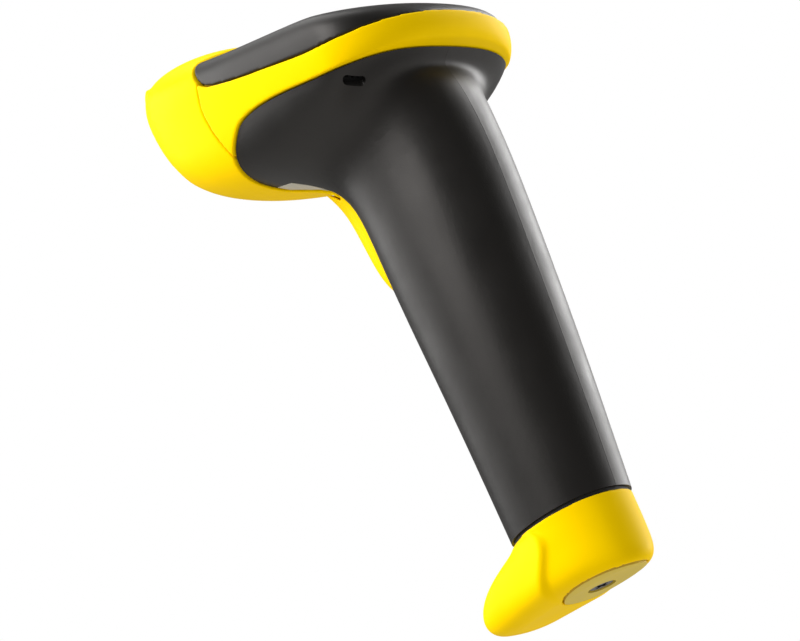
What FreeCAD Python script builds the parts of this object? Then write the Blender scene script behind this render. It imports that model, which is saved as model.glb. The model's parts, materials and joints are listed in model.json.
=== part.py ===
import FreeCAD, Part
import math
import os
from FreeCAD import Placement, Rotation, Vector

# Cordless handheld barcode scanner, standing upright on its foot.
# +X is the way it aims, +Y its left side, +Z up. All sizes are millimetres.
# The sections below are written with X = 0 on the base screw; every part is moved by ORIGIN_X
# when it is written, so that the origin is the middle of the footprint on the sole plane.

os.makedirs("parts", exist_ok=True)

# ---- driving dimensions -------------------------------------------------------------------------
ORIGIN_X = 6.0            # base screw to the middle of the footprint
WALL = 2.3                # moulded shell thickness
PROUD = 0.7               # how far the yellow band and nose stand out from the black skin
COVER_DROP = 0.3          # how far the top cover lies below the black skin
LIP_T = 1.5               # lip of the housing behind the band
LIP_RISE = 4.0
SEAM_GAP = 0.22           # half the groove between two outer mouldings
NOSE_GAP = 0.12           # half the finer seam between the band and the nose
HANDLE_LEAN = 2.4         # backward lean of the handle axis, degrees
HANDLE_END_Z = 18.3       # lower end of the two housing halves, on the axis
CAP_TOP_Z = 17.5          # upper edge of the base cap, below the seal ring
CAP_BLANK_Z = 20.5        # height of the cap before its leaning top cut
SOLE_PLATE = (-1.5, 11.5, 9.6, 1.6)   # centre x, semi-axes x and y, thickness
PLATE_GAP = 0.4           # groove round the sole plate
AIM_TILT = 15.0           # upward tilt of the optical axis, degrees
WINDOW_AT = Vector(45.5, 0, 151.5)
WINDOW_W = 42.0
WINDOW_H = 25.0
WINDOW_T = 1.5
NOSE_FACE_X = 62.0        # front rim at the height of the optical axis
NOSE_FACE_LEAN = 10.0     # the visor overhangs the jaw, degrees
PIVOT = Vector(14.0, 0, 117.0)
PIN_R = 1.5
PIN_LEN = 22.0
RUN_FIT = 0.05            # radial clearance of a running fit
TRIGGER_W = 18.0
HOOD_W = 22.6             # flared top of the trigger
TRIGGER_GAP = 0.4
SLOT_TOP = 122.4          # upper end of the housing's slot for the trigger
TONGUE_CLEAR = 0.35       # trigger's top edge to the jaw's tongue
CELL_R = 9.1
CELL_LEN = 65.0
CELL_AT = Vector(-1.2, 0, 24.0)
SCREW_HEAD_R = 3.0
LEAD_X = 11.3             # charging lead, in front of the battery sleeve
LEAD_Y = 4.0
SLEEVE_R = 10.4
FINGER_Z = (101.6, 104.4) # trigger finger that works the switch
TIP_GAP = 0.3             # trigger finger to switch plunger
CONTACT_X = 31.6          # flat of the charging contact block
LAMP_AT = (-12.0, 0.0)    # indicator lens on the crown, x and y
LAMP_SEMI = (4.0, 1.9)
BOARD_AT = Vector(-3.0, 0, 140.0)
BOARD_TILT = 17.0
BOARD_T = 1.2
RING_POLES = 32

# Rings of the outer skin, from the handle's end up to the crown:
# (front x, z), (rear x, z), widest x, (half width, z at the side), fullness front, rear, corner drop
SKIN_ROWS = [
    ((15.9, 14), (-15.5, 14), 0.0, (14.5, 14), 2.15, 2.15, 0),
    ((16.2, 36), (-17.7, 36), -0.8, (15.5, 36), 2.15, 2.15, 0),
    ((16.7, 56), (-19.5, 56), -1.5, (16.6, 56), 2.15, 2.15, 0),
    ((17.6, 76), (-21.0, 76), -1.6, (17.5, 76), 2.15, 2.15, 0),
    ((18.0, 92), (-22.2, 93), -1.4, (18.0, 92), 2.15, 2.15, 0),
    ((17.6, 103), (-23.0, 107), -1.2, (18.3, 104.5), 2.2, 2.15, 0),
    ((18.2, 113), (-22.4, 121), -1.0, (18.9, 115), 2.3, 2.2, 0),
    ((24.0, 121.3), (-20.6, 128.8), -1.4, (21.0, 122.2), 2.6, 2.2, -1),
    ((37.5, 126.5), (-19.2, 131.8), -3.0, (25.2, 126), 3.0, 2.2, -3),
    ((50.0, 132.2), (-23.8, 134.2), -6.0, (29.6, 129.6), 3.2, 2.2, -5),
    ((57.8, 139), (-27.8, 136.0), -8.5, (31.7, 133.6), 3.3, 2.2, -4),
    ((62.8, 147), (-28.9, 138.2), -9.5, (32.4, 139.2), 3.3, 2.2, 0),
    ((65.4, 159), (-28.9, 141.0), -9.5, (32.4, 145.4), 3.3, 2.2, 4),
    ((66.2, 174.2), (-27.6, 143.4), -9.0, (31.0, 149.8), 3.3, 2.2, 8),
    ((60.0, 179.2), (-25.4, 145.9), -6.0, (27.2, 152.4), 3.0, 2.2, 7),
    ((43.0, 171.2), (-17.0, 149.6), -2.0, (20.0, 153.6), 2.6, 2.2, 4.5),
    ((30.0, 163.8), (-6.0, 152.0), 5.0, (11.0, 155.0), 2.2, 2.2, 2),
    ((19.0, 157.9), (5.0, 154.5), 12.0, (4.5, 156.2), 2.0, 2.0, 0),
]
# The visor's crown rises above the cover behind it: front z of the same rings, counted from the top.
VISOR_CROWN = {-2: 166.6, -3: 173.6, -4: 176.4, -5: 171.5}

# Side-view lines (x, z) where one outer moulding ends and the next begins.
HOUSING_LINE = [(-45, 136.6), (-30, 135.1), (-23.6, 134.2), (-16.3, 133.6), (-10, 134.2), (-3.7, 135.5),
                (6.5, 137.8), (13, 138.8), (18, 139.0), (21.9, 138.4), (24.6, 137), (29.2, 133.8),
                (31.8, 130.5), (32.6, 127.3), (31.6, 124), (29.5, 119)]
LIP_LINE = HOUSING_LINE[:11]
COVER_LINE = [(-45, 142.8), (-30.5, 141.4), (-24, 140.3), (-15.2, 140.2), (-7.8, 141.4), (1.4, 144.0),
              (11, 146.9), (18.1, 149.2), (24, 151.4), (29.2, 154.2), (31.2, 157.4), (32.4, 162),
              (33.2, 168), (33.6, 174), (33.8, 186)]
NOSE_LINE = [(30.5, 112), (29.2, 126), (29.6, 134), (31.1, 141.7), (31.5, 148.4), (30.6, 153.6),
             (29.2, 160), (28, 184)]
TONGUE_LINE = [(20.5, 8.8), (26, 9.8), (30, 12.4), (32.2, 18), (33, 26)]   # (x, y) under the belly


# ---- helpers ------------------------------------------------------------------------------------
def spaced(t, power):
    """Superellipse coordinate of the cosine or sine value t."""
    return math.copysign(abs(t) ** (2.0 / power), t)


def ring_points(row):
    """Control points of one closed ring of a moulded skin."""
    (front_x, front_z), (rear_x, rear_z), mid_x, (half_w, side_z), full_f, full_r, drop = row
    rise_f = (front_z - side_z) / (front_x - mid_x)
    rise_r = (side_z - rear_z) / (mid_x - rear_x)
    bend = (rise_f - rise_r) / (front_x - rear_x)
    points = []
    for i in range(RING_POLES):
        turn = 2 * math.pi * i / RING_POLES
        ahead = math.cos(turn) >= 0
        full = full_f if ahead else full_r
        reach = front_x - mid_x if ahead else mid_x - rear_x
        dx = reach * spaced(math.cos(turn), full)
        y = half_w * spaced(math.sin(turn), full)
        z = side_z + rise_r * dx + bend * dx * (dx + mid_x - rear_x)
        if ahead:
            z -= drop * (y / half_w) ** 2 * dx / reach
        points.append(Vector(mid_x + dx, y, z))
    return points


def inset(rings, depth, open_top=False):
    """The same rings moved inward by depth, square to the skin; the end rings stay flat."""
    moved = []
    last = len(rings) - 1
    for r, ring in enumerate(rings):
        below = rings[max(r - 1, 0)]
        above = rings[min(r + 1, last)]
        row = []
        for i, point in enumerate(ring):
            around = ring[(i + 1) % RING_POLES] - ring[i - 1]
            up = above[i] - below[i]
            if r == 0 or (r == last and open_top):
                up = Vector(0, 0, 1)
            out = around.cross(up).normalize()
            if r == last and not open_top:
                out = (ring[8] - ring[0]).cross(ring[24] - ring[0]).normalize()
                out = out if out.z > 0 else out * -1
            row.append(point - out * depth)
        moved.append(row)
    return moved


def net_solid(rings):
    """Closed solid whose side is one smooth surface over the rings, with flat ends."""
    rows = len(rings)
    knots_u = list(range(rows - 2))
    mults_u = [4] + [1] * (rows - 4) + [4]
    knots_v = list(range(RING_POLES + 1))
    mults_v = [1] * (RING_POLES + 1)
    skin = Part.BSplineSurface()
    skin.buildFromPolesMultsKnots(rings, mults_u, mults_v, knots_u, knots_v, False, True, 3, 3)
    side = skin.toShape()
    ends = [Part.Face(Part.Wire(skin.uIso(u).toShape())) for u in (0, rows - 3)]
    shell = Part.makeShell([side] + ends)
    shell.sewShape()
    solid = Part.makeSolid(shell)
    if solid.Volume < 0:
        solid.reverse()
    return solid


def moved_line(points, shift):
    """A side-view line moved to its left by shift."""
    out = []
    last = len(points) - 1
    for i, (x, z) in enumerate(points):
        x0, z0 = points[max(i - 1, 0)]
        x1, z1 = points[min(i + 1, last)]
        run = math.hypot(x1 - x0, z1 - z0)
        out.append((x - (z1 - z0) / run * shift, z + (x1 - x0) / run * shift))
    return out


def side_prism(line, corners, shift=0.0, half=60.0):
    """Prism along Y: a smooth side-view line closed by straight corners."""
    flow = [Vector(x, -half, z) for x, z in moved_line(line, shift)]
    curve = Part.BSplineCurve()
    curve.interpolate(flow)
    path = [flow[-1]] + [Vector(x, -half, z) for x, z in corners] + [flow[0]]
    edges = [curve.toShape()] + [Part.makeLine(a, b) for a, b in zip(path, path[1:])]
    return Part.Face(Part.Wire(edges)).extrude(Vector(0, 2 * half, 0))


def box(x0, x1, y0, y1, z0, z1):
    return Part.makeBox(x1 - x0, y1 - y0, z1 - z0, Vector(x0, y0, z0))


def rod(radius, start, end):
    axis = end - start
    return Part.makeCylinder(radius, axis.Length, start, axis)


def rounded_box(x0, x1, y0, y1, z0, z1, radius, axis):
    """Box with the four edges along axis rounded."""
    solid = box(x0, x1, y0, y1, z0, z1)
    edges = [e for e in solid.Edges if abs(e.tangentAt(e.FirstParameter).dot(axis)) > 0.9]
    return solid.makeFillet(radius, edges)


def aimed(shape, at=WINDOW_AT):
    """Turn a shape built along +X onto the optical axis."""
    out = shape.copy()
    out.Placement = Placement(at, Rotation(Vector(0, 1, 0), -AIM_TILT))
    return out


def ellipse_plate(centre_x, semi_x, semi_y, z0, z1):
    """Upright plate with an elliptical outline, its long way along X or Y."""
    if semi_x >= semi_y:
        curve = Part.Ellipse(Vector(semi_x, 0, z0), Vector(0, semi_y, z0), Vector(0, 0, z0))
    else:
        curve = Part.Ellipse(Vector(0, semi_y, z0), Vector(-semi_x, 0, z0), Vector(0, 0, z0))
    plate = Part.Face(Part.Wire(curve.toShape())).extrude(Vector(0, 0, z1 - z0))
    plate.translate(Vector(centre_x, 0, 0))
    return plate


def wire_run(points, radius, bend=2.5):
    """Round lead along straight runs joined by tangent arcs."""
    edges = []
    here = points[0]
    for before, corner, after in zip(points, points[1:], points[2:]):
        a = (before - corner).normalize()
        b = (after - corner).normalize()
        half = a.getAngle(b) / 2
        reach = bend / math.tan(half)
        start = corner + a * reach
        end = corner + b * reach
        middle = corner + (a + b).normalize() * (bend / math.sin(half) - bend)
        edges.append(Part.makeLine(here, start))
        edges.append(Part.Arc(start, middle, end).toShape())
        here = end
    edges.append(Part.makeLine(here, points[-1]))
    profile = Part.Wire(Part.makeCircle(radius, points[0], points[1] - points[0]))
    return Part.Wire(edges).makePipeShell([profile], True, True)


def write(name, shape):
    solids = shape.Solids
    shape = solids[0] if len(solids) == 1 else Part.makeCompound(solids)
    shape = shape.copy()
    shape.translate(Vector(-ORIGIN_X, 0, 0))
    shape.exportStep("parts/" + name + ".step")
    state = "" if shape.isValid() else "NOT VALID"
    print(name, len(solids), round(shape.Volume, 1), state)


# ---- outer shells -------------------------------------------------------------------------------
SKIN = [ring_points(row) for row in SKIN_ROWS]
OUTER = net_solid(SKIN)
INNER = net_solid(inset(SKIN, WALL))
SHELL = OUTER.cut(INNER)
PROUD_SHELL = net_solid(inset(SKIN, -PROUD)).cut(INNER)
COVER_SHELL = net_solid(inset(SKIN, COVER_DROP)).cut(INNER)

BLACK_CORNERS = [(60, 96), (60, 0), (-60, 0), (-60, 136.2)]
ABOVE_COVER = [(-45, 190)]
AHEAD_OF_NOSE = [(90, 184), (90, 112)]


def tongue_prism(grow):
    """Strip of the jaw that runs back under the belly to the trigger, widened by grow."""
    left = [Vector(x, y + grow, 108) for x, y in TONGUE_LINE]
    curve = Part.BSplineCurve()
    curve.interpolate(left)
    tail = Vector(left[0].x, 0, 108)
    head = Vector(left[-1].x + 40, left[-1].y, 108)
    middle = Vector(head.x, 0, 108)
    corners = [left[-1], head, middle, tail, left[0]]
    edges = [curve.toShape()] + [Part.makeLine(a, b) for a, b in zip(corners, corners[1:])]
    half = Part.Face(Part.Wire(edges)).extrude(Vector(0, 0, 22))
    return half.fuse(half.mirror(Vector(0, 0, 0), Vector(0, 1, 0))).removeSplitter()


def window_tunnel(grow, start, end):
    """Rounded-rectangle prism along the optical axis."""
    w = WINDOW_W / 2 + grow
    h = WINDOW_H / 2 + grow
    return aimed(rounded_box(start, end, -w, w, -h, h, 5 + grow, Vector(1, 0, 0)))


def leaning_cut(height, above):
    """Everything above or below the plane square to the handle axis at this height."""
    block = box(-80, 80, -80, 80, 0, 60) if above else box(-80, 80, -80, 80, -60, 0)
    block.Placement = Placement(Vector(0, 0, height), Rotation(Vector(0, 1, 0), HANDLE_LEAN))
    return block


def black_zone(shift):
    return side_prism(HOUSING_LINE, BLACK_CORNERS, shift)


def cover_zone(shift):
    return side_prism(COVER_LINE, ABOVE_COVER, shift)


def nose_zone(shift):
    return side_prism(NOSE_LINE, AHEAD_OF_NOSE, shift)


# ---- handle and head housing, two mirrored halves -----------------------------------------------
def housing_blank():
    """Shell of the handle, neck and belly, with a lip that reaches up behind the band."""
    wall = SHELL.common(black_zone(-SEAM_GAP)).cut(tongue_prism(0.4))
    lip_floor = [(LIP_LINE[-1][0], 118), (-45, 118)]
    lip_core = net_solid(inset(SKIN, WALL + LIP_T))
    lip = net_solid(inset(SKIN, WALL + 0.08)).cut(lip_core)
    lip = lip.common(side_prism(LIP_LINE, lip_floor, LIP_RISE))
    root = net_solid(inset(SKIN, WALL - 0.4)).cut(lip_core).cut(tongue_prism(0.4))
    root = root.common(side_prism(LIP_LINE, lip_floor, -2 * SEAM_GAP))
    below = leaning_cut(HANDLE_END_Z, False)
    floor = INNER.common(box(-40, 40, -40, 40, 19.2, 21.4))
    return wall.fuse(root).fuse(lip).fuse(floor).cut(below)


def trigger_slot():
    w = TRIGGER_W / 2 + TRIGGER_GAP
    hood = HOOD_W / 2 + TRIGGER_GAP
    return box(6, 40, -w, w, 87.4, SLOT_TOP).fuse(box(14.4, 40, -hood, hood, 114.4, SLOT_TOP))


BEEPER_PORT = Vector(-12.7, 25.9, 131.0)
BOSS_SPOTS = [(-7.5, 121.0), (24.0, 132.4)]      # x, z of the screw posts
SCREW_DEPTH = 4.6                                 # head seat below the right-hand skin


def beeper_port(slack=0.0):
    """Slot up through the head's underside on the left, its long way across the head."""
    half_x = 1.15 - slack
    half_y = 2.9 - slack
    slot = rounded_box(-half_x, half_x, -half_y, half_y, -9, 5, half_x * 0.95, Vector(0, 0, 1))
    slot.Placement = Placement(BEEPER_PORT, Rotation(Vector(0, 0, 1), -17))
    return slot


def pivot_pin():
    return rod(PIN_R, PIVOT + Vector(0, -PIN_LEN / 2, 0), PIVOT + Vector(0, PIN_LEN / 2, 0))


def screw_posts(blank):
    """Posts across both halves for the case screws, and eyes for the trigger pin."""
    for x, z in BOSS_SPOTS:
        post = rod(3.4, Vector(x, -40, z), Vector(x, 40, z)).common(OUTER)
        blank = blank.fuse(post)
        blank = blank.cut(rod(1.25, Vector(x, -40, z), Vector(x, 10, z)))
    eye = rod(3.6, PIVOT + Vector(0, -40, 0), PIVOT + Vector(0, 40, 0)).common(OUTER)
    eye = eye.fuse(box(PIVOT.x - 8, PIVOT.x, -40, 40, PIVOT.z - 1.6, PIVOT.z + 1.6).common(OUTER))
    inner = box(-40, 40, -9.6, 9.6, 80, 140)
    blank = blank.fuse(eye.cut(inner))
    return blank.cut(pivot_pin())


def screw_seats():
    """Deep seats in the right half that hide the screw heads."""
    seats = []
    for x, z in BOSS_SPOTS:
        skin = skin_reach(x, z)
        seats.append(rod(SCREW_HEAD_R, Vector(x, -60, z), Vector(x, -skin + SCREW_DEPTH, z)))
    return seats[0].fuse(seats[1])


def skin_reach(x, z):
    """Half width of the outer skin at a side-view spot."""
    return rod(0.2, Vector(x, 0, z), Vector(x, 60, z)).common(OUTER).BoundBox.YMax


def housing_halves():
    blank = screw_posts(housing_blank()).cut(trigger_slot())
    blank = blank.cut(rod(1.47, Vector(0, 0, 10), Vector(0, 0, 23)))
    blank = blank.cut(rod(1.0, Vector(LEAD_X, LEAD_Y, 10), Vector(LEAD_X, LEAD_Y, 23)))
    left = blank.common(box(-60, 90, 0.03, 60, 0, 200)).cut(beeper_port())
    right = blank.common(box(-60, 90, -60, -0.03, 0, 200)).cut(screw_seats())
    return left, right


def case_screws():
    screws = []
    for x, z in BOSS_SPOTS:
        screw = machine_screw(2.7, 1.7, 1.25, 24, 1.5)
        seat = Vector(x, -skin_reach(x, z) + SCREW_DEPTH, z)
        screw.Placement = Placement(seat, Rotation(Vector(1, 0, 0), -90))
        screws.append(screw)
    return Part.makeCompound(screws)


def machine_screw(head_r, head_h, shank_r, length, recess_r):
    """Pan-head screw along +Z, head underside at z = 0, with a cross recess."""
    head = rod(head_r, Vector(0, 0, -head_h), Vector(0, 0, 0))
    head = head.makeFillet(head_h * 0.45, [e for e in head.Edges if e.BoundBox.ZMax < 0.01 - head_h])
    shank = rod(shank_r, Vector(0, 0, 0), Vector(0, 0, length))
    tip = Part.makeCone(shank_r, shank_r * 0.5, shank_r, Vector(0, 0, length), Vector(0, 0, 1))
    arm = recess_r * 0.3
    cross = box(-recess_r, recess_r, -arm, arm, -head_h - 1, -head_h * 0.35)
    cross = cross.fuse(box(-arm, arm, -recess_r, recess_r, -head_h - 1, -head_h * 0.35))
    return head.fuse(shank).fuse(tip).cut(cross)


LEFT, RIGHT = housing_halves()
write("left_housing", LEFT)
write("right_housing", RIGHT)
write("case_screws", case_screws())


# ---- yellow band, nose bezel and black top cover ------------------------------------------------
def band():
    return PROUD_SHELL.cut(black_zone(SEAM_GAP)).cut(cover_zone(-SEAM_GAP)).cut(nose_zone(NOSE_GAP))


def visor_shell():
    """Proud shell of the nose, with its crown raised into a lip over the cover's front."""
    rows = list(SKIN_ROWS)
    for i, front_z in VISOR_CROWN.items():
        front, *rest = rows[i]
        rows[i] = ((front[0], front_z), *rest)
    rings = [ring_points(row) for row in rows]
    return net_solid(inset(rings, -PROUD)).cut(INNER)


def nose_bezel():
    shape = visor_shell().common(nose_zone(-NOSE_GAP)).cut(cover_zone(-SEAM_GAP)).cut(black_zone(SEAM_GAP))
    tongue = PROUD_SHELL.common(tongue_prism(0)).common(box(20.5, 34, -30, 30, 100, 130))
    lining = window_tunnel(2.6, -5.0, 40).common(OUTER)
    shape = shape.fuse(tongue).fuse(lining)
    ahead = box(0, 40, -60, 60, -60, 60)
    lean = Rotation(Vector(0, 1, 0), NOSE_FACE_LEAN)
    ahead.Placement = Placement(Vector(NOSE_FACE_X, 0, WINDOW_AT.z + 4), lean)
    return shape.cut(window_tunnel(0, -6, 60)).cut(window_tunnel(1.25, -6, -2.5)).cut(ahead)


def lamp_prism(slack):
    """Upright elliptical prism through the crown for the indicator lens."""
    prism = ellipse_plate(0, LAMP_SEMI[0] - slack, LAMP_SEMI[1] - slack, 120, 170)
    prism.translate(Vector(LAMP_AT[0], LAMP_AT[1], 0))
    return prism


def top_cover():
    return COVER_SHELL.common(cover_zone(SEAM_GAP)).cut(lamp_prism(0))


def indicator_lens():
    return COVER_SHELL.common(lamp_prism(0.04))


write("bumper_band", band())
write("nose_bezel", nose_bezel())
write("top_cover", top_cover())
write("indicator_lens", indicator_lens())


# ---- base cap with its forward toe --------------------------------------------------------------
CAP_SEMI_X = 15.9
CAP_SEMI_Y = 14.65
CAP_POWER = 2.15
# Levels of the cap: z, shrink of the round wall along x and y, then the toe on its left side:
# tip x, shoulder (x, y), edge of the flat pad (x, y). None where the wall is plain.
CAP_LEVELS = [
    (0.0, (3.4, 7.4), 26.0, (23.5, 5.8), (8.5, 7.9)),
    (0.4, (1.7, 5.0), 30.2, (27.0, 7.6), (7.6, 10.3)),
    (1.8, (0.5, 1.7), 33.2, (29.6, 8.9), (6.4, 14.2)),
    (4.9, (0.1, 0.1), 34.6, (30.6, 9.5), (4.4, 15.9)),
    (8.4, (0.0, 0.0), 33.6, (29.2, 9.6), (1.8, 16.1)),
    (11.8, (0.0, 0.0), 29.4, (25.2, 9.7), (-0.4, 16.1)),
    (14.4, (0.0, 0.0), 23.0, (19.6, 9.4), (-0.2, 15.7)),
    (16.4, (0.0, 0.0), 17.0, (14.6, 8.4), (2.0, 14.9)),
    (17.6, (0.0, 0.0), None, None, None),
    (CAP_BLANK_Z, (0.0, 0.0), None, None, None),
]
PAD_EDGE_X = 1.5          # where the pad's edge lies on the plain wall above the toe


def wall_point(x, reach, half_w):
    """Point of the round wall at x, on the left side."""
    share = min(abs(x) / reach, 1.0)
    return x, half_w * (1 - share ** CAP_POWER) ** (1 / CAP_POWER)


def cap_ring(level):
    """Control points of one level: tip, flat pad, its rounded edge, then the round wall."""
    z, shrink, tip_x, shoulder, edge = level
    reach = CAP_SEMI_X - shrink[0]
    half_w = CAP_SEMI_Y - shrink[1]
    if tip_x is None:
        lines = [(reach * math.cos(a), a) for a in (0, 0.28, 0.55)]
        half = [(x, half_w * math.sin(a) ** (2 / CAP_POWER)) for x, a in lines]
        edge_x = PAD_EDGE_X
        half += [wall_point(x, reach, half_w) for x in (11.4, 8.0, 4.6, edge_x + 1.2, edge_x + 0.2)]
        half.append(wall_point(edge_x - 0.5, reach, half_w))
    else:
        edge_x, edge_y = edge
        half = [(tip_x, 0.0), (tip_x - 0.4, shoulder[1] * 0.55), shoulder]
        for share in (0.3, 0.6, 0.85):
            half.append((shoulder[0] + (edge_x - shoulder[0]) * share,
                         shoulder[1] + (edge_y - shoulder[1]) * share))
        half += [(edge_x + 0.6, edge_y), (edge_x - 0.3, edge_y - 0.1), (edge_x - 0.9, edge_y - 0.7)]
    half.append(wall_point(edge_x - 1.6, reach, half_w))
    half.append(wall_point(edge_x - 3.4, reach, half_w))
    start = math.acos((edge_x - 3.4) / reach)
    for step in (1, 2, 3, 4, 5):
        turn = start + (math.pi - start) * step / 6
        side = half_w * math.sin(turn) ** (2 / CAP_POWER)
        half.append((reach * math.cos(turn), side))
    half.append((-reach, 0.0))
    left = [Vector(x, y, z) for x, y in half]
    right = [Vector(p.x, -p.y, z) for p in left[15:0:-1]]
    return left + right


def cap_solid(depth=0.0):
    rings = [cap_ring(level) for level in CAP_LEVELS]
    return net_solid(inset(rings, depth, True) if depth else rings)


def round_solid(depth):
    """The plain round wall moved inward by depth, as tall as the cap's blank."""
    rings = []
    for z in (0, 5, 10, 15, CAP_BLANK_Z):
        rings.append(ring_points(((CAP_SEMI_X, z), (-CAP_SEMI_X, z), 0.0, (CAP_SEMI_Y, z),
                                  CAP_POWER, CAP_POWER, 0)))
    return net_solid(inset(rings, depth, True))


def base_cap():
    shape = cap_solid().cut(leaning_cut(CAP_TOP_Z, True))
    pocket = round_solid(WALL).common(box(-40, 40, -40, 40, 3.4, 40))
    toe_pocket = cap_solid(WALL + 0.6).common(box(10, 40, -40, 40, 3.4, 12.5))
    boss = rod(4.2, Vector(0, 0, 3), Vector(0, 0, 16.8))
    shape = shape.cut(pocket.fuse(toe_pocket).cut(boss))
    centre_x, semi_x, semi_y, thick = SOLE_PLATE
    recess = ellipse_plate(centre_x, semi_x + PLATE_GAP, semi_y + PLATE_GAP, -1, thick)
    block_seat = box(27, 50, -3.6, 3.6, 4.9, 10.1)
    return shape.cut(recess).cut(rod(1.7, Vector(0, 0, -1), Vector(0, 0, 20))).cut(block_seat)


def contact_block():
    block = rounded_box(27.5, CONTACT_X, -3.5, 3.5, 5.0, 10.0, 0.6, Vector(1, 0, 0))
    return block.cut(contact_slots(0.05))


def contact_slots(slack):
    back = CONTACT_X - 1.0 - slack
    left = box(back, CONTACT_X + 0.12, 0.7 - slack, 2.5 + slack, 5.8 - slack, 9.2 + slack)
    return left.fuse(left.mirror(Vector(0, 0, 0), Vector(0, 1, 0)))


def sole_plate():
    centre_x, semi_x, semi_y, thick = SOLE_PLATE
    plate = ellipse_plate(centre_x, semi_x, semi_y, 0, thick).common(cap_solid())
    plate = plate.cut(rod(1.7, Vector(0, 0, -1), Vector(0, 0, 3)))
    return plate.cut(rod(3.6, Vector(0, 0, -1), Vector(0, 0, 0.9)))


def seal_ring():
    """Soft ring between the housing and the base cap, seen as a dark line."""
    ring = round_solid(0.7).cut(round_solid(2.1))
    return ring.cut(leaning_cut(HANDLE_END_Z, True)).cut(leaning_cut(CAP_TOP_Z, False))


def base_screw():
    screw = machine_screw(3.0, 0.65, 1.45, 19.0, 1.8)
    screw.translate(Vector(0, 0, 0.9))
    return screw


write("base_cap", base_cap())
write("sole_plate", sole_plate())
write("seal_ring", seal_ring())
write("base_screw", base_screw())
write("contact_block", contact_block())
write("charging_contacts", contact_slots(0))


# ---- trigger group ------------------------------------------------------------------------------
# Rings of the trigger: outer face x, back x, half width, all at height z.
TRIGGER_RINGS = [(19.4, 13.6, 6.6, 88.6), (20.4, 13.4, 7.6, 89.4), (22.2, 13.0, 8.6, 93.5),
                 (23.3, 12.8, 8.8, 100), (24.0, 12.8, 9.0, 107), (25.0, 13.4, 9.0, 113),
                 (26.4, 15.4, 9.6, 117.5), (27.6, 17.4, 10.8, 120.6), (28.0, 19.0, 11.2, 122.6),
                 (27.2, 20.6, 10.2, 123.6)]


def trigger_ring(front, back, half_w, z):
    """Rounded front and nearly square back of one level of the trigger."""
    middle = back + 2.5
    return ring_points(((front, z), (back, z), middle, (half_w, z), 2.1, 4.0, 0))


def trigger():
    shape = net_solid([trigger_ring(*ring) for ring in TRIGGER_RINGS])
    hollow = box(10, 17.6, -6.6, 6.6, 91, 111)
    shape = shape.cut(hollow)
    ears = rounded_box(10.4, 18.6, -6.2, 6.2, 112.5, 120.4, 3.4, Vector(0, 1, 0))
    gap = box(8, 17.6, -3.2, 3.2, 112, 122)
    finger = box(11.0, 20, -2.2, 2.2, 101.6, 104.4)
    shape = shape.fuse(ears).cut(gap).fuse(finger)
    bore = rod(PIN_R + RUN_FIT, PIVOT + Vector(0, -20, 0), PIVOT + Vector(0, 20, 0))
    belly = net_solid(inset(SKIN, -PROUD - TONGUE_CLEAR)).common(box(20.0, 60, -40, 40, 100, 140))
    above_slot = box(10, 20.2, -20, 20, SLOT_TOP - TRIGGER_GAP, 140)
    return shape.cut(bore).cut(belly).cut(above_slot)


def trigger_spring():
    """Torsion spring round the pivot pin, between the trigger's ears."""
    coil_r = 2.5
    wire_r = 0.35
    pitch = 1.05
    turns = 4
    path = Part.makeHelix(pitch, pitch * turns, coil_r)
    profile = Part.Wire(Part.makeCircle(wire_r, Vector(coil_r, 0, 0), Vector(0, 1, 0)))
    coil = Part.Wire(path.Edges).makePipeShell([profile], True, True)
    foot = rod(wire_r, Vector(coil_r, 0, 0), Vector(coil_r, -4.4, 0))
    arm = rod(wire_r, Vector(coil_r, 0, pitch * turns), Vector(coil_r, 4.0, pitch * turns))
    spring = coil.fuse(foot).fuse(arm)
    spring.translate(Vector(0, 0, -pitch * turns / 2))
    spring.Placement = Placement(PIVOT, Rotation(Vector(1, 0, 0), 90)).multiply(spring.Placement)
    return spring


BOARD_X = (1.6, 3.0)      # trigger board, back and front


def trigger_board():
    return rounded_box(BOARD_X[0], BOARD_X[1], -10, 10, 93, 115, 1, Vector(1, 0, 0))


def trigger_switch():
    body = rounded_box(BOARD_X[1], 8.0, -3.4, 3.4, 99.4, 106.6, 0.5, Vector(1, 0, 0))
    z0, z1 = FINGER_Z
    well = box(5.0, 9, -1.56, 1.56, z0 + 0.04, z1 - 0.04)
    return body.cut(well)


def switch_plunger():
    z0, z1 = FINGER_Z
    tip = 11.0 - TIP_GAP
    return rounded_box(6.9, tip, -1.5, 1.5, z0 + 0.1, z1 - 0.1, 0.4, Vector(1, 0, 0))


write("trigger", trigger())
write("trigger_pivot_pin", pivot_pin())
write("trigger_spring", trigger_spring())
write("trigger_board", trigger_board())
write("trigger_switch", trigger_switch())
write("switch_plunger", switch_plunger())


# ---- window and imaging engine, built along +X and turned onto the optical axis ------------------
def window_frame(grow, hole_grow, start, end):
    w = WINDOW_W / 2
    h = WINDOW_H / 2
    outer = rounded_box(start, end, -w - grow, w + grow, -h - grow, h + grow, 6.2, Vector(1, 0, 0))
    w += hole_grow
    h += hole_grow
    hole = rounded_box(start - 1, end + 1, -w, w, -h, h, 4, Vector(1, 0, 0))
    return outer.cut(hole)


def scan_window():
    w = WINDOW_W / 2 + 1.2
    h = WINDOW_H / 2 + 1.2
    return aimed(rounded_box(-2.5 - WINDOW_T, -2.5, -w, w, -h, h, 6.2, Vector(1, 0, 0)))


def window_gasket():
    return aimed(window_frame(1.2, -1.0, -5.0, -4.0))


ENGINE_X = -9.0          # front of the engine chassis on the optical axis
EAR_Y = 17.2             # fixing ears of the chassis


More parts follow.
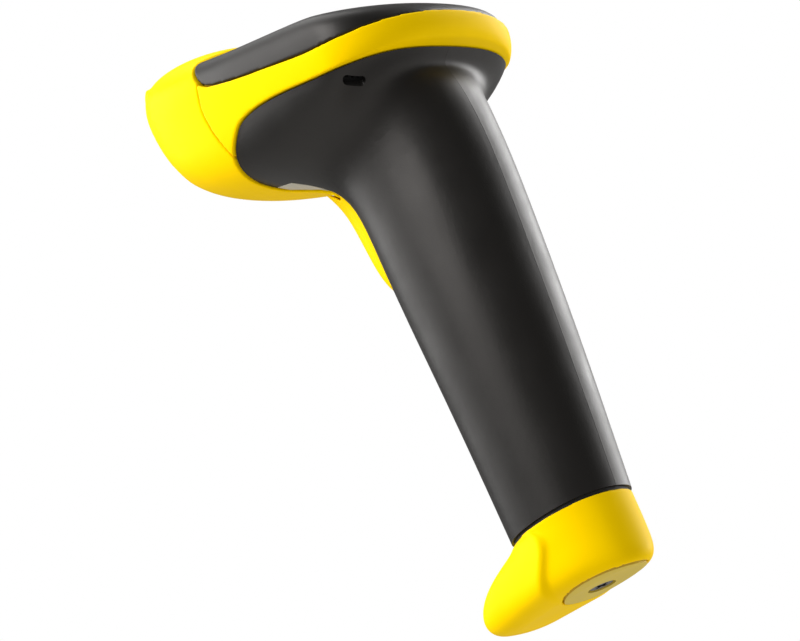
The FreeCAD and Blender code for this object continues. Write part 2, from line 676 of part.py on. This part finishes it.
def engine_chassis():
    """Open-fronted frame that carries the camera barrel, lamps and boards."""
    x0 = ENGINE_X - 14
    body = rounded_box(x0, ENGINE_X, -15, 15, -8, 8, 1.5, Vector(1, 0, 0))
    body = body.cut(box(x0 + 2, ENGINE_X + 1, 7.6, 13.4, -6, 6))
    body = body.cut(box(x0 + 2, ENGINE_X + 1, -13.4, -7.6, -6, 6))
    body = body.cut(rod(5.0, Vector(x0 - 1, 0, 0), Vector(ENGINE_X + 1, 0, 0)))
    for y in (-EAR_Y, EAR_Y):
        ear = rounded_box(x0, x0 + 2, y - 3, y + 3, -4, 4, 1, Vector(1, 0, 0))
        body = body.fuse(ear.cut(rod(1.1, Vector(x0 - 1, y, 0), Vector(x0 + 3, y, 0))))
    return aimed(body)


def camera_barrel():
    x0 = ENGINE_X - 13
    barrel = rod(4.95, Vector(x0, 0, 0), Vector(ENGINE_X - 1, 0, 0))
    barrel = barrel.fuse(rod(4.2, Vector(ENGINE_X - 1, 0, 0), Vector(ENGINE_X + 0.8, 0, 0)))
    barrel = barrel.cut(rod(2.9, Vector(ENGINE_X - 3.4, 0, 0), Vector(ENGINE_X + 1, 0, 0)))
    return aimed(barrel.cut(rod(2.0, Vector(x0 - 1, 0, 0), Vector(ENGINE_X - 3, 0, 0))))


def camera_lens():
    ball = Part.makeSphere(5.0, Vector(ENGINE_X - 6.2, 0, 0))
    lens = rod(2.85, Vector(ENGINE_X - 3.4, 0, 0), Vector(ENGINE_X, 0, 0)).common(ball)
    return aimed(lens)


def lamp_board():
    board = rounded_box(ENGINE_X - 11.6, ENGINE_X - 10.6, -13.2, 13.2, -5.6, 5.6, 1, Vector(1, 0, 0))
    board = board.cut(box(ENGINE_X - 12, ENGINE_X - 10, -7.8, 7.8, -6, 6))
    return aimed(board)


def lamp_leds():
    chips = []
    for y in (-10.5, 10.5):
        chip = box(ENGINE_X - 10.6, ENGINE_X - 9.6, y - 1.7, y + 1.7, -1.7, 1.7)
        ball = Part.makeSphere(1.5, Vector(ENGINE_X - 9.6, y, 0))
        dome = ball.common(box(ENGINE_X - 10, 0, -20, 20, -5, 5))
        chips.append(chip.fuse(dome).removeSplitter())
    return aimed(Part.makeCompound(chips))


def lamp_diffusers():
    lenses = []
    for y in (-10.5, 10.5):
        plate = rounded_box(ENGINE_X - 1.6, ENGINE_X, y - 2.8, y + 2.8, -5.8, 5.8, 1, Vector(1, 0, 0))
        lenses.append(plate)
    return aimed(Part.makeCompound(lenses))


def sensor_board():
    x0 = ENGINE_X - 15.2
    return aimed(rounded_box(x0, x0 + 1.2, -14, 14, -9, 9, 1, Vector(1, 0, 0)))


def image_sensor():
    x0 = ENGINE_X - 14
    return aimed(box(x0, x0 + 0.9, -3.2, 3.2, -2.6, 2.6))


def engine_screws():
    screws = []
    for y in (-EAR_Y, EAR_Y):
        screw = machine_screw(1.9, 1.2, 1.0, 5, 1.0)
        screw.Placement = Placement(Vector(ENGINE_X - 12, y, 0), Rotation(Vector(0, 1, 0), -90))
        screws.append(screw)
    return aimed(Part.makeCompound(screws))


write("scan_window", scan_window())
write("window_gasket", window_gasket())
write("engine_chassis", engine_chassis())
write("camera_barrel", camera_barrel())
write("camera_lens", camera_lens())
write("lamp_board", lamp_board())
write("lamp_leds", lamp_leds())
write("lamp_diffusers", lamp_diffusers())
write("sensor_board", sensor_board())
write("image_sensor", image_sensor())
write("engine_screws", engine_screws())


# ---- main board in the head, tilted with the crown -----------------------------------------------
def boarded(shape):
    out = shape.copy()
    out.Placement = Placement(BOARD_AT, Rotation(Vector(0, 1, 0), -BOARD_TILT))
    return out


def main_board():
    board = rounded_box(-15, 17, -15, 15, 0, BOARD_T, 2, Vector(0, 0, 1))
    for x in (-12.5, 14.5):
        for y in (-12.8, 12.8):
            board = board.cut(rod(1.1, Vector(x, y, -1), Vector(x, y, 3)))
    return boarded(board)


# Chips on the upper face: x, y, size x, size y, height.
CHIPS = [(4, -6, 10, 10, 1.3), (4, 7, 7, 7, 1.0), (-6, 10, 5, 4, 0.9), (-12, 6, 3, 6, 1.4),
         (11.5, -8, 3, 4, 1.1), (12, 2, 3, 8, 1.8)]


def board_chips():
    chips = []
    for x, y, long_x, long_y, tall in CHIPS:
        x0 = x - long_x / 2
        y0 = y - long_y / 2
        chips.append(box(x0, x0 + long_x, y0, y0 + long_y, BOARD_T, BOARD_T + tall))
    return boarded(Part.makeCompound(chips))


def radio_module():
    base = box(-13, -2.5, -11, -1.6, BOARD_T, BOARD_T + 0.8)
    can = rounded_box(-12.5, -3, -10.5, -3.5, BOARD_T + 0.8, BOARD_T + 2.4, 0.8, Vector(0, 0, 1))
    return boarded(base.fuse(can))


def status_led():
    x, y = -7.6, 0
    return boarded(box(x - 1.6, x + 1.6, y - 1.2, y + 1.2, BOARD_T, BOARD_T + 1.0))


def light_pipe():
    """Clear post that carries the status light up to the lens."""
    crown = net_solid(inset(SKIN, WALL + 0.3))
    post = ellipse_plate(0, 1.6, 1.1, 120, 170)
    post.translate(Vector(LAMP_AT[0] + 0.6, 0, 0))
    above = box(-60, 60, -60, 60, BOARD_T + 1.1, 60)
    return post.common(crown).common(boarded(above))


def engine_ribbon():
    """Flat cable from the sensor board to the underside of the main board."""
    path = [(21.4, 142.2), (18.6, 139.6), (14.6, 140.6), (12.6, 143.3)]
    curve = Part.BSplineCurve()
    curve.interpolate([Vector(x, -6, z) for x, z in path])
    back = Part.BSplineCurve()
    back.interpolate([Vector(x, -6, z) for x, z in moved_line(path, 0.2)])
    starts = Part.makeLine(curve.StartPoint, back.StartPoint)
    ends = Part.makeLine(curve.EndPoint, back.EndPoint)
    strip = Part.Face(Part.Wire(Part.__sortEdges__([curve.toShape(), back.toShape(), starts, ends])))
    return strip.extrude(Vector(0, 12, 0))


write("main_board", main_board())
write("board_chips", board_chips())
write("radio_module", radio_module())
write("status_led", status_led())
write("light_pipe", light_pipe())
write("engine_ribbon", engine_ribbon())


# ---- beeper behind the port in the left wall -----------------------------------------------------
def beeper():
    at = Vector(-8.5, 7.5, 131.0)
    can = rod(5.4, at, at + Vector(0, 5.2, 0))
    can = can.makeFillet(0.5, [e for e in can.Edges if e.BoundBox.YLength < 0.01])
    return can.cut(rod(0.9, at + Vector(0, 4, 0), at + Vector(0, 6, 0)))


def beeper_mesh():
    wall = net_solid(inset(SKIN, 1.2)).cut(net_solid(inset(SKIN, 1.8)))
    mesh = beeper_port(0.04).common(wall).common(box(-40, 10, 0, 40, 100, 133.4))
    across = Rotation(Vector(0, 0, 1), -17).multVec(Vector(0, 1, 0))
    for step in (-1, 0, 1):
        at = BEEPER_PORT + across * (step * 1.5)
        mesh = mesh.cut(rod(0.45, at - Vector(0, 0, 9), at + Vector(0, 0, 5)))
    return mesh


write("beeper", beeper())
write("beeper_mesh", beeper_mesh())


# ---- battery in the handle ------------------------------------------------------------------------
def battery_cell():
    top = CELL_AT + Vector(0, 0, CELL_LEN)
    can = rod(CELL_R, CELL_AT, top)
    can = can.makeFillet(0.6, [e for e in can.Edges if e.BoundBox.ZLength < 0.01])
    return can.fuse(rod(3.0, top, top + Vector(0, 0, 0.9)))


def battery_sleeve():
    low = CELL_AT - Vector(0, 0, 1.6)
    top = CELL_AT + Vector(0, 0, CELL_LEN + 1.8)
    bore = rod(CELL_R + 0.1, CELL_AT - Vector(0, 0, 0.9), top - Vector(0, 0, 0.8))
    tube = rod(SLEEVE_R, low, top).cut(bore)
    tube = tube.cut(box(CELL_AT.x - 30, CELL_AT.x, -5, 5, low.z + 6, top.z - 6))
    tube = tube.cut(rod(3.4, top - Vector(0, 0, 2), top + Vector(0, 0, 1)))
    return tube


def cell_contacts():
    low = rod(5.0, CELL_AT - Vector(0, 0, 0.85), CELL_AT - Vector(0, 0, 0.05))
    top_at = CELL_AT + Vector(0, 0, CELL_LEN + 0.95)
    return Part.makeCompound([low, rod(3.3, top_at, top_at + Vector(0, 0, 0.7))])


def battery_lead():
    x = CELL_AT.x
    path = [Vector(x, 0, CELL_AT.z + CELL_LEN + 1.75), Vector(x, 0, 98), Vector(-14, 3, 104),
            Vector(-15, 3, 126), Vector(-12, 1, 131), Vector(-12, 1, 136.4)]
    return wire_run(path, 0.7)


def contact_lead():
    path = [Vector(27.4, 0, 7.5), Vector(17, 0, 7.5), Vector(LEAD_X, LEAD_Y, 10.5),
            Vector(LEAD_X, LEAD_Y, 76), Vector(9.2, 6.4, 84), Vector(8.6, 7, 97),
            Vector(BOARD_X[1] + 0.02, 7, 97)]
    return wire_run(path, 0.6)


write("battery_cell", battery_cell())
write("battery_sleeve", battery_sleeve())
write("cell_contacts", cell_contacts())
write("battery_lead", battery_lead())
write("contact_lead", contact_lead())


# ---- blank label on the belly ---------------------------------------------------------------------
LABEL_CORNERS = [(31.0, 16.4), (25.6, 17.2), (20.4, 11.6), (26.0, 10.6), (30.4, 13.0)]


def belly_label():
    outline = [Vector(x, y, 100) for x, y in LABEL_CORNERS]
    prism = Part.Face(Part.makePolygon(outline + outline[:1])).extrude(Vector(0, 0, 34))
    film = net_solid(inset(SKIN, -0.14)).cut(net_solid(inset(SKIN, -0.01)))
    return film.common(prism)


write("belly_label", belly_label())
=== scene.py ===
import json
import math

import bpy
from mathutils import Matrix, Vector

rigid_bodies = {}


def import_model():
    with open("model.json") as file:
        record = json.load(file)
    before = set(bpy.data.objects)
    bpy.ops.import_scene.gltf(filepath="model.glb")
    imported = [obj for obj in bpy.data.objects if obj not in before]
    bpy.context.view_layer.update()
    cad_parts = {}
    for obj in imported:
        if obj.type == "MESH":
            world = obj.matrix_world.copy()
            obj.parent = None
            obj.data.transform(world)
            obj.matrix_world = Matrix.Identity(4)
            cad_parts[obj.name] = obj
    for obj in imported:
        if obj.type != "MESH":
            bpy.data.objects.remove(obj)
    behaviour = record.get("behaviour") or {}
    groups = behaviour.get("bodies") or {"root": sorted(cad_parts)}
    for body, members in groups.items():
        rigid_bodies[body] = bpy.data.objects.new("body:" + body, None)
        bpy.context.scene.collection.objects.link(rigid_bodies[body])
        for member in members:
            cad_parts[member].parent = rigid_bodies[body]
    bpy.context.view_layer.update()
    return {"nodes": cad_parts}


for leftover in list(bpy.data.objects):
    bpy.data.objects.remove(leftover, do_unlink=True)

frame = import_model()
nodes = frame["nodes"]
scene = bpy.context.scene

# ---- camera -------------------------------------------------------------------------------------
CAMERA_AZIMUTH = math.radians(220.0)
CAMERA_ELEVATION = math.radians(-16.4)
CAMERA_ROLL = math.radians(23.0)
CAMERA_DISTANCE = 0.736
CAMERA_LENS = 133.3
CAMERA_TARGET = Vector((0.01916, 0.0, 0.08418))
SENSOR_WIDTH = 36.0
CLIP_NEAR = 0.01
CLIP_FAR = 20.0


def add_camera():
    """Long lens, from behind the left side and a little below."""
    level = math.cos(CAMERA_ELEVATION)
    back = Vector((math.sin(CAMERA_AZIMUTH) * level, -math.cos(CAMERA_AZIMUTH) * level,
                   math.sin(CAMERA_ELEVATION)))
    right = Vector((math.cos(CAMERA_AZIMUTH), math.sin(CAMERA_AZIMUTH), 0.0))
    up = back.cross(right)
    across = right * math.cos(CAMERA_ROLL) - up * math.sin(CAMERA_ROLL)
    upward = right * math.sin(CAMERA_ROLL) + up * math.cos(CAMERA_ROLL)
    data = bpy.data.cameras.new("camera")
    data.lens = CAMERA_LENS
    data.sensor_width = SENSOR_WIDTH
    data.clip_start = CLIP_NEAR
    data.clip_end = CLIP_FAR
    camera = bpy.data.objects.new("camera", data)
    turn = Matrix((across, upward, back)).transposed().to_4x4()
    camera.matrix_world = Matrix.Translation(CAMERA_TARGET + back * CAMERA_DISTANCE) @ turn
    scene.collection.objects.link(camera)
    scene.camera = camera


# ---- light and floor ----------------------------------------------------------------------------
LIGHT_AIM = Vector((0.0, 0.0, 0.1))
SKY_COLOUR = (1.0, 0.985, 0.96, 1.0)
SKY_SIDE = 0.2            # strength of the sky at the sides and above
SKY_BELOW = 1.0           # strength of the sky from straight below
SKY_TURNS_AT = 0.1        # upward part of the direction where the sky starts to brighten
SKY_FULL_AT = -0.9        # upward part of the direction where it is brightest
FLOOR_HALF = 3.0
FLOOR_DROP = 0.0003       # gap between the sole and the floor
FLOOR_GREY = (0.86, 0.86, 0.86, 1.0)
FLOOR_GLOW = 0.6          # keeps the far floor pale, where the lamps don't reach


def area_light(name, place, size, power):
    data = bpy.data.lights.new(name, "AREA")
    data.shape = "RECTANGLE"
    data.size, data.size_y = size
    data.energy = power
    light = bpy.data.objects.new(name, data)
    light.location = Vector(place)
    light.rotation_mode = "QUATERNION"
    light.rotation_quaternion = (LIGHT_AIM - Vector(place)).to_track_quat("-Z", "Y")
    scene.collection.objects.link(light)


def add_lights():
    """Large soft boxes: ahead, on the left, low on the right and above."""
    area_light("front", place=(0.95, 0.42, 0.68), size=(1.0, 0.9), power=10.5)
    area_light("key", place=(0.07, 0.97, 0.74), size=(0.86, 0.8), power=17.0)
    area_light("rim", place=(-0.22, -0.92, 0.34), size=(0.6, 1.0), power=14.0)
    area_light("top", place=(0.15, 0.0, 1.1), size=(0.8, 0.8), power=5.0)


def add_world():
    """White to the eye; to the object a soft sky, brightest from below."""
    world = bpy.data.worlds.new("studio")
    world.use_nodes = True
    tree = world.node_tree
    tree.nodes.clear()
    seen = tree.nodes.new("ShaderNodeBackground")
    seen.inputs["Color"].default_value = (1.0, 1.0, 1.0, 1.0)
    seen.inputs["Strength"].default_value = 1.0
    sky = tree.nodes.new("ShaderNodeBackground")
    sky.inputs["Color"].default_value = SKY_COLOUR
    heading = tree.nodes.new("ShaderNodeTexCoord")
    split = tree.nodes.new("ShaderNodeSeparateXYZ")
    tree.links.new(heading.outputs["Generated"], split.inputs[0])
    low = tree.nodes.new("ShaderNodeMapRange")
    low.interpolation_type = "SMOOTHSTEP"
    low.inputs["From Min"].default_value = SKY_TURNS_AT
    low.inputs["From Max"].default_value = SKY_FULL_AT
    low.inputs["To Min"].default_value = SKY_SIDE
    low.inputs["To Max"].default_value = SKY_BELOW
    tree.links.new(split.outputs["Z"], low.inputs["Value"])
    tree.links.new(low.outputs["Result"], sky.inputs["Strength"])
    path = tree.nodes.new("ShaderNodeLightPath")
    mix = tree.nodes.new("ShaderNodeMixShader")
    out = tree.nodes.new("ShaderNodeOutputWorld")
    tree.links.new(path.outputs["Is Camera Ray"], mix.inputs[0])
    tree.links.new(sky.outputs[0], mix.inputs[1])
    tree.links.new(seen.outputs[0], mix.inputs[2])
    tree.links.new(mix.outputs[0], out.inputs[0])
    scene.world = world


def floor_material():
    """Pale from above, clear from below."""
    material = bpy.data.materials.new("floor_pale")
    material.use_nodes = True
    tree = material.node_tree
    tree.nodes.clear()
    paint = tree.nodes.new("ShaderNodeBsdfDiffuse")
    paint.inputs["Color"].default_value = FLOOR_GREY
    glow = tree.nodes.new("ShaderNodeEmission")
    glow.inputs["Color"].default_value = FLOOR_GREY
    glow.inputs["Strength"].default_value = FLOOR_GLOW
    pale = tree.nodes.new("ShaderNodeAddShader")
    tree.links.new(paint.outputs[0], pale.inputs[0])
    tree.links.new(glow.outputs[0], pale.inputs[1])
    clear = tree.nodes.new("ShaderNodeBsdfTransparent")
    geometry = tree.nodes.new("ShaderNodeNewGeometry")
    mix = tree.nodes.new("ShaderNodeMixShader")
    out = tree.nodes.new("ShaderNodeOutputMaterial")
    tree.links.new(geometry.outputs["Backfacing"], mix.inputs[0])
    tree.links.new(pale.outputs[0], mix.inputs[1])
    tree.links.new(clear.outputs[0], mix.inputs[2])
    tree.links.new(mix.outputs[0], out.inputs[0])
    return material


def add_floor():
    """Floor that shows from above only, so that the sole can be seen from below."""
    half = FLOOR_HALF
    mesh = bpy.data.meshes.new("floor")
    corners = [(-half, -half, 0), (half, -half, 0), (half, half, 0), (-half, half, 0)]
    mesh.from_pydata(corners, [], [(0, 1, 2, 3)])
    mesh.materials.append(floor_material())
    floor = bpy.data.objects.new("floor", mesh)
    floor.location = (0.0, 0.0, -FLOOR_DROP)
    scene.collection.objects.link(floor)
    floor.visible_diffuse = False
    floor.visible_glossy = False
    floor.visible_transmission = False
    floor.visible_shadow = False


# ---- materials ----------------------------------------------------------------------------------
NOISE_LOW = 0.3           # most of a noise lies between these two
NOISE_HIGH = 0.7


class Paint:
    """A node material round one Principled shader."""

    def __init__(self, name, colour, roughness, **settings):
        self.material = bpy.data.materials.new(name)
        self.material.use_nodes = True
        self.tree = self.material.node_tree
        self.shader = self.tree.nodes["Principled BSDF"]
        self.colour = colour
        self.roughness = roughness
        self.shader.inputs["Base Color"].default_value = (*colour, 1.0)
        self.shader.inputs["Roughness"].default_value = roughness
        for key, value in settings.items():
            self.shader.inputs[key.replace("_", " ")].default_value = value
        self.place = self.tree.nodes.new("ShaderNodeTexCoord").outputs["Object"]
        self.height = None

    def node(self, kind, **values):
        """A new node; each value sets the input of that name, or else the node's own setting."""
        made = self.tree.nodes.new(kind)
        for key, value in values.items():
            if key in made.inputs:
                made.inputs[key].default_value = value
            else:
                setattr(made, key, value)
        return made

    def noise(self, scale, detail=3.0, rough=0.55):
        made = self.node("ShaderNodeTexNoise", Scale=scale, Detail=detail, Roughness=rough)
        self.tree.links.new(self.place, made.inputs["Vector"])
        return made.outputs["Fac"]

    def ramp(self, value, low, high):
        """The middle of a noise spread over low to high."""
        made = self.node("ShaderNodeMapRange")
        made.inputs["From Min"].default_value = NOISE_LOW
        made.inputs["From Max"].default_value = NOISE_HIGH
        made.inputs["To Min"].default_value = low
        made.inputs["To Max"].default_value = high
        self.tree.links.new(value, made.inputs["Value"])
        return made.outputs["Result"]

    def tint(self, value, amount):
        """Colour darkened and lightened by amount with value."""
        low = tuple(c * (1 - amount) for c in self.colour)
        high = tuple(min(1.0, c * (1 + amount)) for c in self.colour)
        made = self.node("ShaderNodeMix", data_type="RGBA")
        ends = [s for s in made.inputs if s.name in ("A", "B") and s.type == "RGBA"]
        ends[0].default_value = (*low, 1.0)
        ends[1].default_value = (*high, 1.0)
        self.tree.links.new(self.ramp(value, 0.0, 1.0), made.inputs[0])
        result = [s for s in made.outputs if s.type == "RGBA"][0]
        self.tree.links.new(result, self.shader.inputs["Base Color"])

    def rough(self, value, spread):
        low, high = self.roughness - spread, self.roughness + spread
        self.tree.links.new(self.ramp(value, low, high), self.shader.inputs["Roughness"])

    def bump(self, value, depth, strength):
        """Fine relief on top of any relief already there; depth in metres."""
        made = self.node("ShaderNodeBump", Strength=strength, Distance=depth)
        self.tree.links.new(value, made.inputs["Height"])
        if self.height is not None:
            self.tree.links.new(self.height, made.inputs["Normal"])
        self.height = made.outputs["Normal"]
        self.tree.links.new(self.height, self.shader.inputs["Normal"])


def soft_black():
    """Fine spark-eroded black plastic with a soft-touch coat."""
    paint = Paint("housing_black", (0.0066, 0.0062, 0.0058), 0.42, Specular_IOR_Level=0.34)
    paint.shader.inputs["Specular Tint"].default_value = (1.0, 0.955, 0.92, 1.0)
    paint.tint(paint.noise(55.0), amount=0.12)
    paint.rough(paint.noise(90.0, detail=4.0), spread=0.05)
    paint.bump(paint.noise(3800.0, detail=2.0, rough=0.6), depth=0.00003, strength=0.6)
    paint.bump(paint.noise(1500.0, detail=2.0, rough=0.5), depth=0.00003, strength=0.35)
    return paint.material


def satin_yellow():
    """Satin moulded yellow, slightly uneven in gloss."""
    paint = Paint("trim_yellow", (0.95, 0.62, 0.0), 0.45, Specular_IOR_Level=0.025)
    paint.shader.inputs["Specular Tint"].default_value = (1.0, 0.75, 0.0, 1.0)
    paint.tint(paint.noise(45.0), amount=0.03)
    paint.rough(paint.noise(70.0, detail=4.0), spread=0.05)
    paint.bump(paint.noise(2600.0, detail=2.0, rough=0.6), depth=0.00002, strength=0.35)
    return paint.material


# Scales of the colour's and the gloss's noise, as shares of the relief's.
TINT_GRAIN = 0.05
GLOSS_GRAIN = 0.1
GLOSS_SPREAD = 0.15       # change of roughness, as a share of it
RELIEF = 0.5


def plain(name, colour, roughness, grain, depth, tint=0.08, **settings):
    """A material with a little uneven colour, gloss and relief."""
    paint = Paint(name, colour, roughness, **settings)
    paint.tint(paint.noise(grain * TINT_GRAIN), tint)
    paint.rough(paint.noise(grain * GLOSS_GRAIN), roughness * GLOSS_SPREAD)
    paint.bump(paint.noise(grain), depth, RELIEF)
    return paint.material


MATERIALS = {
    "housing_black": soft_black(),
    "trim_yellow": satin_yellow(),
    "seal_rubber": plain("seal_rubber", (0.01, 0.01, 0.01), 0.7, grain=2500.0, depth=0.00002),
    "screw_steel": plain("screw_steel", (0.55, 0.54, 0.52), 0.32, grain=3000.0, depth=0.00001,
                         Metallic=1.0),
    "contact_gold": plain("contact_gold", (0.95, 0.68, 0.28), 0.25, grain=2500.0, depth=0.00001,
                          Metallic=1.0),
    "window_clear": plain("window_clear", (0.93, 0.95, 0.96), 0.03, grain=400.0, depth=0.000001,
                          tint=0.01, Transmission_Weight=1.0, IOR=1.49),
    "optic_glass": plain("optic_glass", (0.95, 0.97, 0.98), 0.02, grain=400.0, depth=0.000001,
                         tint=0.01, Transmission_Weight=1.0, IOR=1.52),
    "lamp_clear": plain("lamp_clear", (0.9, 0.92, 0.9), 0.25, grain=1500.0, depth=0.00001,
                        tint=0.02, Transmission_Weight=0.6, IOR=1.49),
    "engine_black": plain("engine_black", (0.02, 0.02, 0.021), 0.5, grain=2500.0, depth=0.00002),
    "board_green": plain("board_green", (0.02, 0.16, 0.06), 0.35, grain=2000.0, depth=0.00002),
    "chip_black": plain("chip_black", (0.025, 0.025, 0.027), 0.45, grain=3000.0, depth=0.00002),
    "shield_tin": plain("shield_tin", (0.62, 0.62, 0.6), 0.3, grain=2500.0, depth=0.00001,
                        Metallic=1.0),
    "cell_wrap": plain("cell_wrap", (0.05, 0.16, 0.42), 0.3, grain=900.0, depth=0.00002),
    "inner_grey": plain("inner_grey", (0.32, 0.33, 0.34), 0.5, grain=2500.0, depth=0.00002),
    "lead_red": plain("lead_red", (0.5, 0.03, 0.02), 0.4, grain=2500.0, depth=0.00002),
    "label_white": plain("label_white", (0.5, 0.47, 0.38), 0.45, grain=1800.0, depth=0.00001),
}

# Nodes whose finish differs from the rest of their material. The sole plate's darker, greyer
# yellow is painted shade and a painted grey reflection, and the beeper mesh's near-black is
# painted shade of its hole.
NODE_FINISH = {
    # sole plate: its gloss differs for real, but its darker, greyer yellow is painted shade and a
    # painted grey reflection of its downward-facing side
    "sole_plate": plain("sole_plate", (0.62, 0.47, 0.07), 0.5, grain=2600.0, depth=0.00002,
                        tint=0.04, Specular_IOR_Level=0.12),
    "base_screw": plain("blued_steel", (0.12, 0.11, 0.12), 0.3, grain=3000.0, depth=0.00001,
                        Metallic=1.0),
    # beeper mesh: near-black, darker than the black housing, as painted shade of the port's hole
    "beeper_mesh": plain("beeper_mesh", (0.002, 0.002, 0.002), 0.8, grain=3000.0, depth=0.00001,
                         Specular_IOR_Level=0.1),
}


def dress_nodes():
    """Give every CAD node the finish of its material, or its own."""
    for node_name, node in nodes.items():
        slot_names = [m.name for m in node.data.materials]
        for i, name in enumerate(slot_names):
            finish = NODE_FINISH.get(node_name, MATERIALS[name.split(".")[0]])
            node.data.materials[i] = finish


# ---- moulded edges ------------------------------------------------------------------------------
WELD_REACH = 1e-6         # joins the vertices that are split along sharp edges
SMOOTH_SHARE = 0.5
# Outer mouldings with rounded edges: voxel size and rounds of smoothing.
SOFT_EDGES = {
    "bumper_band": (0.00032, 6),
    "nose_bezel": (0.00032, 6),
    "trigger": (0.00032, 6),
    "base_cap": (0.00032, 6),
    "top_cover": (0.00036, 4),
}


def soften(node, voxel, passes):
    """Round every edge of a moulding a little, as a mould does."""
    weld = node.modifiers.new("weld", "WELD")
    weld.merge_threshold = WELD_REACH
    remesh = node.modifiers.new("remesh", "REMESH")
    remesh.mode = "VOXEL"
    remesh.voxel_size = voxel
    remesh.use_smooth_shade = True
    smooth = node.modifiers.new("smooth", "SMOOTH")
    smooth.factor = SMOOTH_SHARE
    smooth.iterations = passes


dress_nodes()
for name, (voxel, passes) in SOFT_EDGES.items():
    soften(nodes[name], voxel, passes)

add_camera()
add_world()
add_floor()
add_lights()
scene.view_settings.view_transform = "Standard"
